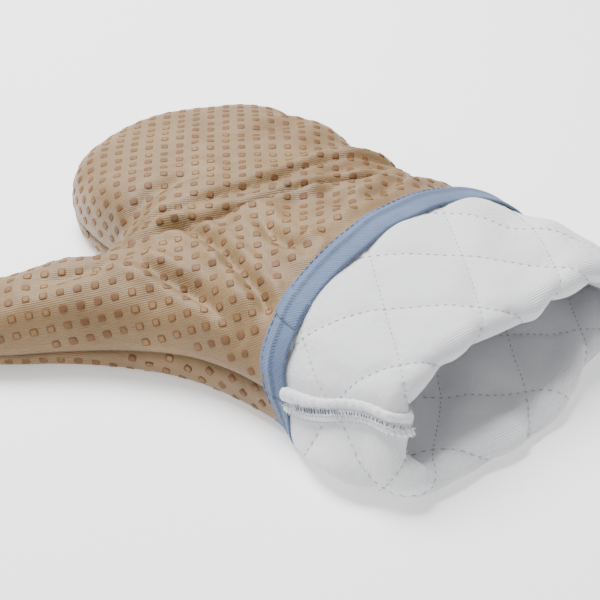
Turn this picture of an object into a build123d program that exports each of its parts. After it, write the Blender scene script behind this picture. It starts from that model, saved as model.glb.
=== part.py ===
"""Quilted oven mitt, lying palm down with its lining pulled part way out of the cuff.

Frame: origin on the table under the middle of the palm, +Y to the fingertips, thumb towards -X, +Z up.
The sizes below are measured from the cuff binding, and the finished pieces are moved to that origin.
Every layer is the same hand-shaped form, drawn in by its own depth: shell, wadding, lining.
"""
from build123d import *
import math
import os

# Overall sizes, mm
HAND_LENGTH = 205.0        # binding to fingertips
CUFF_WIDTH = 176.0
CUFF_HEIGHT = 58.0         # table to the top of the cuff, at the binding
TOP_FALL = 0.075           # how fast the top drops towards the fingertips
TURNOUT_LENGTH = 76.0      # lining pulled out past the binding, at the side seams
WRIST_Y = 48.0
WRIST_RIGHT = 71.0
KNUCKLE_Y = 120.0
KNUCKLE_LEFT = -57.0
KNUCKLE_RIGHT = 80.0
FINGER_LEFT = -40.0
FINGER_RIGHT = 54.0
FINGER_CORNER = 40.0
FINGER_LEAN = 5.0          # how far the thumb side of the fingers leans in, over FINGER_RISE
FINGER_RISE = 40.0
LITTLE_LEAN = 1.0          # the same on the little finger's side
LITTLE_RISE = 55.0
SIDE_BEND = 60.0           # easy curve between the straighter stretches of the sides
FLARE_Y = -4.0             # where the cuff starts to narrow towards the wrist
THUMB_HEIGHT = 36.0
THUMB_ROOT_Y = 25.0        # where the hand's side turns away from the cuff, under the thumb
THUMB_SIDE_STEP = 9.0      # how far the thumb's outer side stands out from the cuff, at THUMB_SIDE_Y
THUMB_SIDE_Y = 55.0
THUMB_TIP_X = -162.0       # corners of the thumb before they are rounded
THUMB_TIP_Y = 139.0
THUMB_TIP_SPAN = 42.5
THUMB_CORNER = 19.0
CROTCH_BEND = 40.0
TOP_ROUND = 18.0           # rounding of the top and bottom edges of the stuffed form
THUMB_ROUND = 14.0
BOTTOM_ROUND = 10.0
SMALLEST_ROUND = 0.8       # rounding left on the innermost layers
SEAM_Z = 20.0              # height of the side seam
ORIGIN_Y = 60.0            # the frame's origin, measured from the binding

# The planes of the binding and of the mouth lean back towards the fingers, degrees
BINDING_LEAN = 21.5
MOUTH_LEAN = 30.0

# Cloth and padding, mm
SHELL_CLOTH = 1.0
LINING_CLOTH = 0.8
PADDING = 6.4              # depth of the lining's outer face below the shell's outer face
FLAP_WIDTH = 6.0           # overlocked edge of the lining panels
FLAP_CLOTH = 1.6
BINDING_WIDTH = 16.0
BINDING_CLOTH = 0.8
BINDING_UNDER = 0.5        # the tape is pressed thinner where the mitt lies on it
BINDING_FOLD = 2.4         # width of the raised fold along the middle of the tape
LAP_LENGTH = 14.0
LAP_X = -74.0
THREAD = 0.4
QUILT_THREAD = 0.25

# Silicone pads and stitches, mm
PAD_SIZE = 3.7
PAD_HEIGHT = 0.6
PAD_PITCH = 8.0
PAD_MARGIN = 3.5           # bare cloth kept along the seams and the binding
QUILT_PITCH = 30.0
STITCH_LENGTH = 2.6
STITCH_PITCH = 3.8
STITCH_INSET = 1.4         # topstitch line, in from the tape's edge
FAR = 400.0                # longer than the whole mitt

THUMB_INSIDE_X = -30.0     # where the thumb's form ends inside the palm
THUMB_LOW_Y = 16.0
THUMB_LOW_STEP = 4.0       # how far inside the cuff's side the thumb's form starts
THUMB_LOW_BEND = 22.0
WEB_X = -98.0
WEB_Y = 130.0


def bent_outline(points, bends):
    """A flat outline of straight stretches joined by arcs, open end closed by a straight cut."""
    path = FilletPolyline(*points, radius=bends)
    return make_face(Curve() + [path, Line(points[-1], points[0])]).face()


def mouth_end():
    """How far the cuff's form runs from the binding, past the leaning mouth."""
    return TURNOUT_LENGTH + CUFF_HEIGHT / 2


def hand_outline():
    """Plan of the cuff, palm and fingers."""
    half = CUFF_WIDTH / 2
    mouth_y = -mouth_end()
    points = [
        (-half, mouth_y), (-half, THUMB_ROOT_Y), (KNUCKLE_LEFT, KNUCKLE_Y),
        (KNUCKLE_LEFT + FINGER_LEAN, KNUCKLE_Y + FINGER_RISE),
        (FINGER_LEFT, HAND_LENGTH), (FINGER_RIGHT, HAND_LENGTH),
        (KNUCKLE_RIGHT + LITTLE_LEAN, KNUCKLE_Y + LITTLE_RISE),
        (KNUCKLE_RIGHT, KNUCKLE_Y), (WRIST_RIGHT, WRIST_Y), (half, FLARE_Y), (half, mouth_y),
    ]
    bends = [SIDE_BEND, 2 * SIDE_BEND, SIDE_BEND, FINGER_CORNER, FINGER_CORNER, FINGER_CORNER,
             2 * SIDE_BEND, SIDE_BEND, SIDE_BEND]
    return bent_outline(points, bends)


def thumb_outline():
    """Plan of the thumb, from inside the palm to its tip."""
    tip_step = THUMB_TIP_SPAN / math.sqrt(2)
    points = [
        (THUMB_INSIDE_X, THUMB_LOW_Y), (THUMB_LOW_STEP - CUFF_WIDTH / 2, THUMB_LOW_Y),
        (-CUFF_WIDTH / 2 - THUMB_SIDE_STEP, THUMB_SIDE_Y),
        (THUMB_TIP_X, THUMB_TIP_Y), (THUMB_TIP_X + tip_step, THUMB_TIP_Y + tip_step),
        (WEB_X, WEB_Y), (THUMB_INSIDE_X, WEB_Y),
    ]
    bends = [THUMB_LOW_BEND, SIDE_BEND, THUMB_CORNER, THUMB_CORNER, CROTCH_BEND]
    return bent_outline(points, bends)


def open_end(edge):
    """True on the straight cut at the open end of an outline, which stays sharp."""
    start = edge.position_at(0)
    finish = edge.position_at(1)
    across_mouth = abs(start.Y - finish.Y) < 0.1 and start.Y < -TURNOUT_LENGTH / 2
    inside_palm = abs(start.X - finish.X) < 0.1 and abs(start.X - THUMB_INSIDE_X) < 2 * PADDING
    return across_mouth or inside_palm


def stuffed(outline, window, inset, height, fall, rounding):
    """A prism on an outline drawn in by inset, with its top and bottom edges rounded.

    The window cuts an outline that is drawn out, not in, square again at its open end.
    """
    drawn = offset(outline, amount=-inset) if inset else outline
    drawn = (drawn & window).face()
    body = extrude(Plane.XY.offset(inset) * drawn, 2 * CUFF_HEIGHT).solids()[0]
    lid = Plane(origin=(0, 0, height - inset), x_dir=(1, 0, 0), z_dir=(0, fall, 1))
    body = split(body, bisect_by=lid, keep=Keep.BOTTOM).solids()[0]
    top = body.faces().sort_by(Axis.Z)[-1]
    body = body.fillet(max(rounding - inset, SMALLEST_ROUND), [edge for edge in top.edges() if not open_end(edge)])
    base = body.faces().sort_by(Axis.Z)[0]
    return body.fillet(max(BOTTOM_ROUND - inset, SMALLEST_ROUND), [edge for edge in base.edges() if not open_end(edge)])


FORMS = {}


def form(inset):
    """The whole hand-shaped form drawn in by inset, lifted where the binding passes under it."""
    key = round(inset, 3)
    if key not in FORMS:
        beyond_mouth = Pos(0, FAR - mouth_end()) * Rectangle(2 * FAR, 2 * FAR)
        outside_palm = Pos(THUMB_INSIDE_X - FAR, 0) * Rectangle(2 * FAR, 2 * FAR)
        hand = stuffed(hand_outline(), beyond_mouth, inset, CUFF_HEIGHT, TOP_FALL, TOP_ROUND)
        thumb = stuffed(thumb_outline(), outside_palm, inset, THUMB_HEIGHT, 0.0, THUMB_ROUND)
        FORMS[key] = hand + thumb
    return FORMS[key]


def binding_plane(shift):
    """Plane across the cuff, shifted towards the fingers from the middle of the binding."""
    lean = math.radians(BINDING_LEAN)
    normal = Vector(0, math.cos(lean), -math.sin(lean))
    return Plane(origin=Vector(0, 0, SEAM_Z) + normal * shift, x_dir=(1, 0, 0), z_dir=normal)


def mouth_plane(shift):
    """Plane of the turned-back mouth, shifted away from the fingers."""
    lean = math.radians(MOUTH_LEAN)
    normal = Vector(0, -math.cos(lean), math.sin(lean))
    return Plane(origin=Vector(0, -TURNOUT_LENGTH, SEAM_Z) + normal * shift, x_dir=(1, 0, 0), z_dir=normal)


def keep(shape, plane, side):
    """The part of a shape on one side of a plane, as one shape."""
    piece = split(shape, bisect_by=plane, keep=side)
    return Part() + piece.solids()


def finger_side(shape, shift=0.0):
    return keep(shape, binding_plane(shift), Keep.TOP)


def cuff_side(shape, shift=0.0):
    return keep(shape, binding_plane(shift), Keep.BOTTOM)


def inside_mouth(shape, shift=0.0):
    return keep(shape, mouth_plane(shift), Keep.BOTTOM)


def band(shape, half_width):
    """The stretch of a shape within half_width of the binding's middle."""
    return cuff_side(finger_side(shape, -half_width), half_width)


def between(shape, low, high):
    """The stretch of a shape between two heights."""
    upper = keep(shape, Plane.XY.offset(low), Keep.TOP)
    return keep(upper, Plane.XY.offset(high), Keep.BOTTOM)


def slab_box(low, high):
    """A block wider than the mitt between two heights."""
    return Pos(0, 0, (low + high) / 2) * Box(FAR, FAR, high - low)


def lifted(inset):
    """form(inset), raised clear of the tape that passes under the cuff."""
    under_tape = band(slab_box(inset - BOTTOM_ROUND, inset + BINDING_UNDER), BINDING_WIDTH / 2)
    return form(inset) - under_tape


def halves(shape):
    """The solids of a shape above the side seam, and those below it."""
    level = Plane.XY.offset(SEAM_Z)
    return keep(shape, level, Keep.TOP).solids(), keep(shape, level, Keep.BOTTOM).solids()


def make_shell():
    """Shell cloth above and below the seam."""
    return halves(finger_side(lifted(0) - lifted(SHELL_CLOTH)))


def make_seam_thread():
    """The thread that joins the two shell panels, just inside the cloth."""
    ring = finger_side(lifted(SHELL_CLOTH) - lifted(SHELL_CLOTH + THREAD), BINDING_WIDTH / 2)
    return between(ring, SEAM_Z - THREAD / 2, SEAM_Z + THREAD / 2).solids()


def cuff_core():
    """Padding between the two legs of the pulled-out lining."""
    outer = inside_mouth(cuff_side(lifted(LINING_CLOTH)), -LINING_CLOTH)
    return outer - lifted(PADDING)


def make_wadding():
    """Padding of the hand and of the folded cuff, above and below the seam."""
    hand_back, hand_palm = halves(finger_side(lifted(SHELL_CLOTH + THREAD) - lifted(PADDING)))
    cuff_back, cuff_palm = halves(cuff_core())
    return hand_back + cuff_back, hand_palm + cuff_palm


def make_lining():
    """Lining cloth: the bag in the hand, and both legs and the rolled rim of the cuff."""
    inner = lifted(PADDING + LINING_CLOTH)
    hand_back, hand_palm = halves(finger_side(lifted(PADDING) - inner))
    cuff_back, cuff_palm = halves(inside_mouth(cuff_side(lifted(0))) - inner - cuff_core())
    return hand_back + cuff_back, hand_palm + cuff_palm


def flap_strip(low, high):
    """Overlocked edge inside the lining, carried round the rim and along the thumb side of the cuff."""
    depth = PADDING + LINING_CLOTH
    inside = inside_mouth(lifted(depth) - lifted(depth + FLAP_CLOTH))
    outer = form(-FLAP_CLOTH)
    side = inside_mouth(cuff_side(outer - form(0), -BINDING_WIDTH / 2))
    wrap = keep(inside_mouth(outer, FLAP_CLOTH), mouth_plane(0), Keep.TOP) - lifted(depth + FLAP_CLOTH)
    strips = []
    for piece in (inside, keep(side, Plane.YZ, Keep.BOTTOM), keep(wrap, Plane.YZ, Keep.BOTTOM)):
        strips.extend(between(piece, low, high).solids())
    return strips


def make_flap():
    """The overlocked edge and the thread bound over its two sides."""
    half = FLAP_WIDTH / 2
    flap = flap_strip(SEAM_Z - half, SEAM_Z + half)
    thread = flap_strip(SEAM_Z + half, SEAM_Z + half + 2 * THREAD)
    thread += flap_strip(SEAM_Z - half - 2 * THREAD, SEAM_Z - half)
    return flap, thread


def make_binding():
    """Bias tape round the cuff, with the fold along its middle and its lapped end."""
    above_table = slab_box(0, 2 * CUFF_HEIGHT)
    tape = (band(form(-BINDING_CLOTH), BINDING_WIDTH / 2) & above_table) - lifted(0)
    ply = form(-2 * BINDING_CLOTH) - form(-BINDING_CLOTH)
    lap_block = Pos(LAP_X + LAP_LENGTH / 2, 0, SEAM_Z + CUFF_HEIGHT) * Box(LAP_LENGTH, FAR, 2 * CUFF_HEIGHT)
    fold = (band(ply, BINDING_FOLD / 2) & above_table) - lap_block
    lap = band(ply, BINDING_WIDTH / 2) & lap_block
    return tape.solids() + fold.solids() + lap.solids()


def make_topstitch():
    """Stitches round the shell-side edge of the tape, above the table."""
    cut = finger_side(form(-BINDING_CLOTH), BINDING_WIDTH / 2 - STITCH_INSET)
    loop = cut.faces().filter_by(binding_plane(0)).sort_by(Axis.Y)[0].outer_wire()
    normal = binding_plane(0).z_dir
    stitches = []
    for index in range(int(loop.length / STITCH_PITCH)):
        share = index * STITCH_PITCH / loop.length
        place = loop.position_at(share)
        if place.Z < 2 or (place.Z > SEAM_Z and LAP_X - 2 < place.X < LAP_X + LAP_LENGTH + 2):
            continue
        along = loop.tangent_at(share)
        outward = along.cross(normal)
        if outward.dot(place - Vector(0, place.Y, SEAM_Z)) < 0:
            outward = -outward
        stitch = Plane(origin=place + outward * THREAD / 2, x_dir=along, z_dir=outward)
        stitches.append(stitch * Box(STITCH_LENGTH, THREAD, THREAD))
    return stitches


def height_at(outline, x, y, height, fall, rounding):
    """Height of a stuffed form's top at a point in plan, and the way its surface leans outward."""
    nearest, _ = outline.outer_wire().closest_points(Vector(x, y, 0))
    gap = nearest - Vector(x, y, 0)
    distance = gap.length
    lid = height - fall * y
    if distance >= rounding:
        return lid, Vector(0, fall, 1).normalized()
    rise = math.sqrt(rounding ** 2 - (rounding - distance) ** 2)
    outward = gap.normalized() * (rounding - distance)
    return lid - rounding + rise, Vector(outward.X, outward.Y, rise).normalized()


def lattice():
    """Pad centres in plan: a square grid turned 45 degrees, with a gap centred on the origin."""
    reach = int(FAR / PAD_PITCH / 2)
    diagonal = PAD_PITCH / math.sqrt(2)
    for row in range(-reach, reach):
        for column in range(-reach, reach):
            yield (row - column) * diagonal, (row + column + 1) * diagonal + ORIGIN_Y


def inside_outline(outline, x, y, margin):
    """True where a point lies within an outline and clear of its edge."""
    if not outline.is_inside(Vector(x, y, 0)):
        return False
    nearest, _ = outline.outer_wire().closest_points(Vector(x, y, 0))
    return (nearest - Vector(x, y, 0)).length > margin


def tape_edge_y(z):
    """Where the shell comes out from under the tape, at a height."""
    lean = math.radians(BINDING_LEAN)
    return (z - SEAM_Z) * math.tan(lean) + BINDING_WIDTH / 2 / math.cos(lean)


def pad_on(place, outward):
    """One square pad standing on the cloth, its edges at 45 degrees to the mitt."""
    along = Vector(1, 1, 0)
    along = (along - outward * along.dot(outward)).normalized()
    seat = Plane(origin=place + outward * PAD_HEIGHT / 2, x_dir=along, z_dir=outward)
    return seat * Box(PAD_SIZE, PAD_SIZE, PAD_HEIGHT)


def make_back_pads():
    """Pads over the upper panel of the hand and thumb."""
    hand = hand_outline()
    thumb = thumb_outline()
    pads = []
    for x, y in lattice():
        spots = []
        if inside_outline(hand, x, y, PAD_MARGIN):
            spots.append(height_at(hand, x, y, CUFF_HEIGHT, TOP_FALL, TOP_ROUND))
        if inside_outline(thumb, x, y, PAD_MARGIN):
            spots.append(height_at(thumb, x, y, THUMB_HEIGHT, 0.0, THUMB_ROUND))
        if not spots:
            continue
        top, outward = max(spots, key=lambda spot: spot[0])
        if y > tape_edge_y(top) + PAD_MARGIN:
            pads.append(pad_on(Vector(x, y, top), outward))
    return pads


def make_palm_pads():
    """Pads over the lower panel, pressed flush into the cloth where the mitt rests on them."""
    hand = hand_outline()
    thumb = thumb_outline()
    flush = BOTTOM_ROUND + PAD_SIZE
    pads = []
    for x, y in lattice():
        on_hand = inside_outline(hand, x, y, flush)
        on_thumb = inside_outline(thumb, x, y, flush)
        if (on_hand or on_thumb) and y > tape_edge_y(0) + PAD_MARGIN + PAD_SIZE:
            pads.append(Pos(x, y, PAD_HEIGHT / 2) * Rot(0, 0, 45) * Box(PAD_SIZE, PAD_SIZE, PAD_HEIGHT))
    return pads


def quilt_grid():
    """Thin upright walls on the diamond quilting lines."""
    walls = []
    count = int(FAR / QUILT_PITCH)
    for index in range(-count, count + 1):
        for turn in (45, -45):
            shift = (index + 0.5) * QUILT_PITCH
            place = Pos(0, ORIGIN_Y, CUFF_HEIGHT) * Rot(0, 0, turn) * Pos(shift, 0, 0)
            walls.append(place * Box(QUILT_THREAD, 2 * FAR, 2.2 * CUFF_HEIGHT))
    return walls


def make_quilting():
    """Quilting thread on the outside of the pulled-out lining, above and below the seam."""
    skin = inside_mouth(cuff_side(form(-QUILT_THREAD) - form(0), -BINDING_WIDTH / 2))
    skin = between(skin, LINING_CLOTH, 2 * CUFF_HEIGHT)
    flap_zone = keep(slab_box(SEAM_Z - FLAP_WIDTH, SEAM_Z + FLAP_WIDTH), Plane.YZ, Keep.BOTTOM)
    skin -= flap_zone
    strips = []
    for wall in quilt_grid():
        strips.extend((skin & wall).solids())
    back = [strip for strip in strips if strip.center().Z > SEAM_Z]
    palm = [strip for strip in strips if strip.center().Z <= SEAM_Z]
    return back, palm


def write(name, pieces):
    """Move pieces to the frame's origin and write them as one STEP file."""
    solids = []
    for piece in pieces if isinstance(pieces, list) else [pieces]:
        solids.extend(piece.solids())
    moved = [solid.moved(Location((0, -ORIGIN_Y, 0))) for solid in solids]
    shape = moved[0] if len(moved) == 1 else Compound(children=moved)
    shape.label = name
    export_step(shape, f"parts/{name}.step")
    print(name, len(moved), "solids", flush=True)


def main():
    os.makedirs("parts", exist_ok=True)
    back_shell, palm_shell = make_shell()
    palm_pads = make_palm_pads()
    write("back_shell", back_shell)
    write("palm_grip_pads", palm_pads)
    write("palm_shell", palm_shell[0] - palm_pads)
    write("shell_seam_thread", make_seam_thread())
    write("back_grip_pads", make_back_pads())
    back_wadding, palm_wadding = make_wadding()
    write("back_wadding", back_wadding)
    write("palm_wadding", palm_wadding)
    back_lining, palm_lining = make_lining()
    write("back_lining", back_lining)
    write("palm_lining", palm_lining)
    flap, overlock = make_flap()
    write("lining_seam_flap", flap)
    write("overlock_thread", overlock)
    write("cuff_binding", make_binding())
    write("binding_topstitch", make_topstitch())
    back_quilting, palm_quilting = make_quilting()
    write("back_quilting_thread", back_quilting)
    write("palm_quilting_thread", palm_quilting)


if __name__ == "__main__":
    main()
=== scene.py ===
import logging
import math
from collections.abc import Callable
from dataclasses import dataclass, field
from enum import Enum

import bpy
import numpy as np
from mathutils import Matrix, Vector
from mathutils.bvhtree import BVHTree
from mathutils.geometry import delaunay_2d_cdt


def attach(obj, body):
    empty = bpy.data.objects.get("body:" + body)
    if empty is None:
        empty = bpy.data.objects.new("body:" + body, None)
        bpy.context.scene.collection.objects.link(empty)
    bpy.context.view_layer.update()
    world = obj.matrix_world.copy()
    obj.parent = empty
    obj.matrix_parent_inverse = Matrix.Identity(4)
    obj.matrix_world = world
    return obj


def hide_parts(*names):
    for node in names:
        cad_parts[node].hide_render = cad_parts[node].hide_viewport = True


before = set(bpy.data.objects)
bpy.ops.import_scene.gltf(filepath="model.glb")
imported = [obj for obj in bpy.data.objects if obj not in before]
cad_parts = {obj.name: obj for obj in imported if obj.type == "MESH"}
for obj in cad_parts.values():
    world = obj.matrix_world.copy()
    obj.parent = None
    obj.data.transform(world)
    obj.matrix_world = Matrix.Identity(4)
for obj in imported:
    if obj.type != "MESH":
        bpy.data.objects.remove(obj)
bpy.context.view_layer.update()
LOG = logging.getLogger("mitt")

MM = 0.001
CM_PER_MM = 0.1
HALF_TURN = 0.7071
BINDING_LEAN = math.tan(math.radians(21.5))
SEAM_Z = 20.0
BINDING_Y = -60.0
LEAN_FADE = 70.0
CUFF_HALF = 88.0
CUFF_TOP = 60.0
TABLE_GAP = 0.5
RNG = np.random.default_rng(11)


class Panel(Enum):
    """The two panels that every layer of the mitt is cut as."""

    BACK = 1
    PALM = -1


def smooth(value: np.ndarray, low: float, high: float) -> np.ndarray:
    """Smooth step from 0 at low to 1 at high.

    Args:
        value: Numbers to step.
        low: Where the step starts.
        high: Where it ends.

    Returns:
        The stepped numbers.
    """
    t = np.clip((np.asarray(value, float) - low) / (high - low), 0, 1)
    return t * t * (3 - 2 * t)


def through(points: np.ndarray, count: int, closed: bool = False) -> np.ndarray:
    """Evenly spaced points on a Catmull-Rom curve through the given points.

    Args:
        points: Points to pass through, one per row.
        count: How many points to return.
        closed: Whether the curve returns to its start.

    Returns:
        The points, one per row.
    """
    points = np.asarray(points, float)
    if closed:
        padded = np.vstack([points[-1], points, points[0], points[1]])
    else:
        padded = np.vstack([2 * points[0] - points[1], points, 2 * points[-1] - points[-2]])
    t = np.linspace(0, 1, 24, endpoint=False)[:, None]
    dense = []
    for a, b, c, d in zip(padded[:-3], padded[1:-2], padded[2:-1], padded[3:]):
        dense.append(0.5 * (2 * b + (c - a) * t + (2 * a - 5 * b + 4 * c - d) * t ** 2
                            + (3 * b - a - 3 * c + d) * t ** 3))
    dense = np.vstack(dense + [points[:1] if closed else points[-1:]])
    return resample(dense, count, closed)


def resample(dense: np.ndarray, count: int, closed: bool = False) -> np.ndarray:
    """Evenly spaced points on a polyline.

    Args:
        dense: The polyline, with its first point repeated at its end if it is closed.
        count: How many points to return.
        closed: Whether the last point would repeat the first.

    Returns:
        The points, one per row.
    """
    run = np.concatenate([[0], np.cumsum(np.linalg.norm(np.diff(dense, axis=0), axis=1))])
    at = np.linspace(0, run[-1], count, endpoint=not closed)
    return np.stack([np.interp(at, run, dense[:, k]) for k in range(dense.shape[1])], 1)


def unit(vectors: np.ndarray, least: float = 1e-9) -> np.ndarray:
    """Vectors scaled to length one.

    Args:
        vectors: Vectors along the last axis.
        least: A small length that guards against a division by zero.

    Returns:
        The unit vectors.
    """
    return vectors / (np.linalg.norm(vectors, axis=-1, keepdims=True) + least)


def quads(rows: int, columns: int, wrap_rows: bool = False, wrap_columns: bool = False,
          flip: bool = False) -> list:
    """Faces of a grid of points stored row by row.

    Args:
        rows: Rows of points.
        columns: Points in each row.
        wrap_rows: Whether the last row joins the first.
        wrap_columns: Whether each row closes on itself.
        flip: Whether the faces turn the other way.

    Returns:
        Faces as vertex numbers.
    """
    faces = []
    for r in range(rows if wrap_rows else rows - 1):
        for c in range(columns if wrap_columns else columns - 1):
            s, d = (r + 1) % rows * columns, (c + 1) % columns
            face = (r * columns + c, r * columns + d, s + d, s + c)
            faces.append(face[:1] + face[:0:-1] if flip else face)
    return faces


def relax(apply: Callable, diagonal: np.ndarray, load: np.ndarray, shape: np.ndarray, steps: int,
          enough: float = 0.0, least: float = 1e-12) -> np.ndarray:
    """The shape that a stiffness takes under a load, by conjugate gradients.

    Args:
        apply: Gives the load that holds a shape.
        diagonal: The stiffness of each point on its own.
        load: The load at each point.
        shape: The shape to start from.
        steps: The most steps to take.
        enough: The remaining error at which to stop.
        least: A small number that guards against a division by zero.

    Returns:
        The shape.
    """
    rest = load - apply(shape)
    guess = rest / diagonal
    heading, error = guess.copy(), rest @ guess
    for _ in range(steps):
        push = apply(heading)
        step = error / (heading @ push + least)
        shape = shape + step * heading
        rest = rest - step * push
        guess = rest / diagonal
        error, last = rest @ guess, error
        if error < enough:
            break
        heading = guess + heading * error / (last + least)
    return shape


def new_object(name: str, verts: np.ndarray, faces: list, material: bpy.types.Material,
               uv: np.ndarray | None = None, spot: np.ndarray | None = None) -> bpy.types.Object:
    """A smooth-shaded mesh object from points in millimetres.

    Args:
        name: The piece's name.
        verts: Points in millimetres, measured from the binding.
        faces: Faces as vertex numbers.
        material: Its finish.
        uv: Cloth coordinates per vertex, in millimetres, where the finish follows the cloth.
        spot: Second coordinates per vertex, used as they are.

    Returns:
        The linked object.
    """
    mesh = bpy.data.meshes.new(name)
    places = np.array(verts, float)
    places[:, 1] += BINDING_Y
    mesh.from_pydata((places * MM).tolist(), [], faces)
    mesh.materials.append(material)
    if uv is not None:
        layer = mesh.uv_layers.new(name="cloth")
        loops = np.zeros(len(mesh.loops), int)
        mesh.loops.foreach_get("vertex_index", loops)
        layer.data.foreach_set("uv", (np.asarray(uv, float)[loops] * CM_PER_MM).ravel())
        if spot is not None:
            second = mesh.uv_layers.new(name="spot")
            second.data.foreach_set("uv", np.asarray(spot, float)[loops].ravel())
    mesh.polygons.foreach_set("use_smooth", [True] * len(mesh.polygons))
    mesh.update()
    piece = bpy.data.objects.new(name, mesh)
    bpy.context.scene.collection.objects.link(piece)
    return piece


def ride(piece: bpy.types.Object, slot: str, *nodes: str) -> None:
    """Put a piece on the mitt's one body and hide the nodes that it stands for."""
    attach(piece, "root")
    if nodes:
        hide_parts(*nodes)
    LOG.info("%s: %d vertices", piece.name, len(piece.data.vertices))


class Graph:
    """A small helper that adds and links nodes in one node tree."""

    def __init__(self, tree: bpy.types.NodeTree) -> None:
        """Keep the tree."""
        self.tree = tree

    def feed(self, node: bpy.types.Node, inputs: dict) -> None:
        """Set or link a node's inputs.

        Args:
            node: The node.
            inputs: Input name or number to a value or an output socket.
        """
        for name, value in inputs.items():
            if isinstance(value, bpy.types.NodeSocket):
                self.tree.links.new(value, node.inputs[name])
            else:
                node.inputs[name].default_value = value

    def add(self, kind: str, inputs: dict | None = None, **settings: object) -> bpy.types.Node:
        """Add a node.

        Args:
            kind: Blender's node type.
            inputs: Input name or number to a value or an output socket.
            settings: Attributes of the node.

        Returns:
            The node.
        """
        node = self.tree.nodes.new(kind)
        for name, value in settings.items():
            setattr(node, name, value)
        self.feed(node, inputs or {})
        return node

    def math(self, operation: str, first: object, second: object = 0.0) -> bpy.types.NodeSocket:
        """One math node's output, for two numbers or sockets."""
        return self.add("ShaderNodeMath", {0: first, 1: second}, operation=operation).outputs[0]

    def times(self, first: object, second: object) -> bpy.types.NodeSocket:
        """The product of two numbers or sockets."""
        return self.math("MULTIPLY", first, second)

    def plus(self, first: object, second: object) -> bpy.types.NodeSocket:
        """The sum of two numbers or sockets."""
        return self.math("ADD", first, second)

    def noise(self, place: object, scale: float, detail: float) -> bpy.types.NodeSocket:
        """A noise texture's height at a place."""
        inputs = {"Vector": place, "Scale": scale, "Detail": detail}
        return self.add("ShaderNodeTexNoise", inputs).outputs[0]

    def mix(self, share: object, first: tuple | object, second: tuple) -> bpy.types.NodeSocket:
        """A colour mixed from two by a share."""
        node = self.add("ShaderNodeMix", {0: share, 6: first, 7: second}, data_type="RGBA")
        return node.outputs[2]


def new_group(name: str, *outputs: str) -> Graph:
    """An empty node group with outputs for numbers, as a helper on its tree."""
    tree = bpy.data.node_groups.new(name, "ShaderNodeTree")
    for label in outputs:
        tree.interface.new_socket(label, in_out="OUTPUT", socket_type="NodeSocketFloat")
    return Graph(tree)


def new_material(name: str) -> tuple:
    """A new material, the helper on its tree, and its shader."""
    material = bpy.data.materials.new(name)
    material.use_nodes = True
    return material, Graph(material.node_tree), material.node_tree.nodes["Principled BSDF"]


def thread_group(name: str, across: float, along: float, slant: float) -> bpy.types.NodeTree:
    """A woven surface: threads across and along the cloth, or on a slant, with uneven yarn.

    Args:
        name: The group's name.
        across: Threads per centimetre one way.
        along: Threads per centimetre the other way.
        slant: How far the ribs turn, in radians, for a twill.

    Returns:
        The node group, with outputs Height and Shade.
    """
    graph = new_group(name, "Height", "Shade")
    cloth = graph.add("ShaderNodeUVMap", uv_map="cloth").outputs[0]
    turned = graph.add("ShaderNodeVectorRotate", {"Vector": cloth, "Angle": slant},
                       rotation_type="Z_AXIS").outputs[0]
    parts = graph.add("ShaderNodeSeparateXYZ", {0: turned}).outputs
    shift = graph.times(graph.noise(cloth, 0.9, 3.0), 2.0)
    ribs = graph.math("SINE", graph.plus(graph.times(parts[1], across * math.tau), shift))
    ends = graph.math("SINE", graph.plus(graph.times(parts[0], along * math.tau), shift))
    woven = graph.plus(ribs, graph.times(graph.times(ends, ribs), 0.5))
    drawn = graph.add("ShaderNodeMapping", {"Vector": turned, "Scale": (1.5, 30.0, 1.0)}).outputs[0]
    graph.feed(graph.add("NodeGroupOutput"), {
        "Height": graph.plus(graph.times(woven, 0.5), graph.noise(cloth, 60.0, 3.0)),
        "Shade": graph.plus(graph.times(woven, 0.10), graph.noise(drawn, 1.0, 2.0))})
    return graph.tree


def wear_group() -> bpy.types.NodeTree:
    """Broad uneven tone, as cloth takes from handling, with outputs Tone and Height.

    Returns:
        The node group.
    """
    graph = new_group("handled_tone", "Tone", "Height")
    place = graph.add("ShaderNodeTexCoord").outputs["Object"]
    graph.feed(graph.add("NodeGroupOutput"), {
        "Tone": graph.noise(place, 28.0, 4.0), "Height": graph.noise(place, 170.0, 4.0)})
    return graph.tree


@dataclass(frozen=True)
class ClothFinish:
    """A woven finish: two yarn shades, weave counts per centimetre and its sheen."""

    name: str
    dark: tuple
    light: tuple
    across: float = 9.0
    along: float = 9.0
    slant: float = 0.0
    roughness: float = 0.75
    sheen: float = 0.3
    depth: float = 0.00009

    def build(self, wear: bpy.types.NodeTree) -> bpy.types.Material:
        """The material.

        Args:
            wear: The shared tone group.

        Returns:
            The new material.
        """
        material, graph, shader = new_material(self.name)
        threads = thread_group(self.name + "_weave", self.across, self.along, self.slant)
        weave = graph.add("ShaderNodeGroup", node_tree=threads).outputs
        tone = graph.add("ShaderNodeGroup", node_tree=wear).outputs
        share = graph.plus(graph.times(weave["Shade"], 0.75),
                           graph.times(graph.math("SUBTRACT", tone["Tone"], 0.5), 0.7))
        height = graph.plus(weave["Height"], graph.times(tone["Height"], 5.0))
        bump = graph.add("ShaderNodeBump", {"Height": height, "Distance": self.depth, "Strength": 1.0})
        graph.feed(shader, {
            "Base Color": graph.mix(share, (*self.dark, 1), (*self.light, 1)),
            "Roughness": graph.plus(graph.times(weave["Shade"], -0.15), self.roughness + 0.08),
            "Sheen Weight": self.sheen, "Sheen Roughness": 0.4, "Normal": bump.outputs[0]})
        return material


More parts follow.
